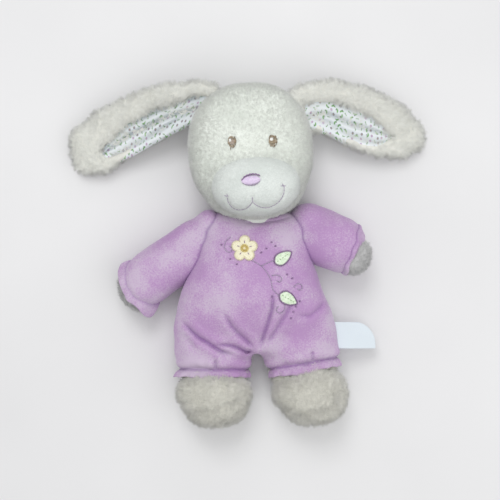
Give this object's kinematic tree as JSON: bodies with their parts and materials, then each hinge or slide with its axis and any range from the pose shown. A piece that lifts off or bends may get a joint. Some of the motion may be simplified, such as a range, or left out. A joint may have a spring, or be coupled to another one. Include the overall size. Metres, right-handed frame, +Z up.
{
  "type": "stuffed bunny rabbit",
  "caption": "Plush bunny lying on its back in a lilac velour romper, with long hanging ears, soft arms and legs that bend, and a fabric tag at its side.",
  "frame": {"origin": "middle of the flat back of the body, on the surface that the toy lies on", "axes": "+Z up out of the belly, away from the surface; +Y towards the head; +X towards the side that carries the label"},
  "size_m": [0.2946, 0.2812, 0.0933],
  "materials": {
    "head_plush": "short curly white plush, matt",
    "long_plush": "longer fluffy cream-white plush, matt",
    "short_velour": "short smooth white velour, matt",
    "lilac_velour": "soft lilac velour with a light sheen",
    "printed_cotton": null,
    "printed_patch": "pale green patch cloth",
    "brown_thread": "satin-stitch embroidery thread",
    "lilac_thread": "satin-stitch embroidery thread",
    "yellow_thread": "satin-stitch embroidery thread",
    "cream_felt": "cream felt",
    "label_ribbon": "plain woven satin ribbon",
    "stuffing": "polyester fibre filling"
  },
  "bodies": {
    "torso": {"romper_front": "lilac_velour", "romper_back": "lilac_velour", "torso_filling": "stuffing", "neck": "short_velour", "flower_applique": "cream_felt", "flower_centre": "yellow_thread", "leaf_upper": "printed_patch", "leaf_lower": "printed_patch", "stem_stitching": "lilac_thread"},
    "head": {"head_front": "head_plush", "head_back": "head_plush", "head_filling": "stuffing", "muzzle": "short_velour", "muzzle_filling": "stuffing", "nose": "lilac_thread", "mouth": "lilac_thread", "eye_left": "brown_thread", "eye_right": "brown_thread"},
    "label": {"side_label": "label_ribbon"},
    "ear_left": {"ear_left_plush": "long_plush", "ear_left_lining": "printed_cotton"},
    "arm_left": {"sleeve_left": "lilac_velour", "arm_filling_left": "stuffing", "cuff_left": "lilac_velour", "hand_left": "long_plush"},
    "leg_left": {"trouser_leg_left": "lilac_velour", "leg_filling_left": "stuffing", "leg_cuff_left": "lilac_velour", "foot_upper_left": "long_plush", "foot_sole_left": "short_velour", "foot_filling_left": "stuffing"},
    "ear_right": {"ear_right_plush": "long_plush", "ear_right_lining": "printed_cotton"},
    "arm_right": {"sleeve_right": "lilac_velour", "arm_filling_right": "stuffing", "cuff_right": "lilac_velour", "hand_right": "long_plush"},
    "leg_right": {"trouser_leg_right": "lilac_velour", "leg_filling_right": "stuffing", "leg_cuff_right": "lilac_velour", "foot_upper_right": "long_plush", "foot_sole_right": "short_velour", "foot_filling_right": "stuffing"}
  },
  "joints": [
    {"name": "neck_nod", "type": "hinge", "parent": "torso", "child": "head", "pos_m": [0, 0.057, 0.028], "axis": [1, 0, 0], "range_deg": [-12, 18]},
    {"name": "ear_left_fold", "type": "hinge", "parent": "head", "child": "ear_left", "pos_m": [-0.038, 0.1525, 0.037], "axis": [-0.3123, 0.95, 0], "range_deg": [-20, 70]},
    {"name": "shoulder_left_lift", "type": "hinge", "parent": "torso", "child": "arm_left", "pos_m": [-0.0425, 0.038, 0.022], "axis": [-0.5606, 0.8281, 0], "range_deg": [-15, 60]},
    {"name": "hip_left_bend", "type": "hinge", "parent": "torso", "child": "leg_left", "pos_m": [-0.0345, -0.046, 0.022], "axis": [-1, 0, 0], "range_deg": [-10, 60]},
    {"name": "ear_right_fold", "type": "hinge", "parent": "head", "child": "ear_right", "pos_m": [0.0315, 0.15, 0.037], "axis": [-0.2504, -0.9681, 0], "range_deg": [-20, 70]},
    {"name": "shoulder_right_lift", "type": "hinge", "parent": "torso", "child": "arm_right", "pos_m": [0.044, 0.044, 0.022], "axis": [-0.342, -0.9397, 0], "range_deg": [-15, 60]},
    {"name": "hip_right_bend", "type": "hinge", "parent": "torso", "child": "leg_right", "pos_m": [0.035, -0.046, 0.022], "axis": [-0.9848, -0.1736, 0], "range_deg": [-10, 60]},
    {"name": "label_flap", "type": "hinge", "parent": "torso", "child": "label", "pos_m": [0.0663, -0.047, 0.024], "axis": [0, -1, 0], "range_deg": [-15, 40]}
  ]
}
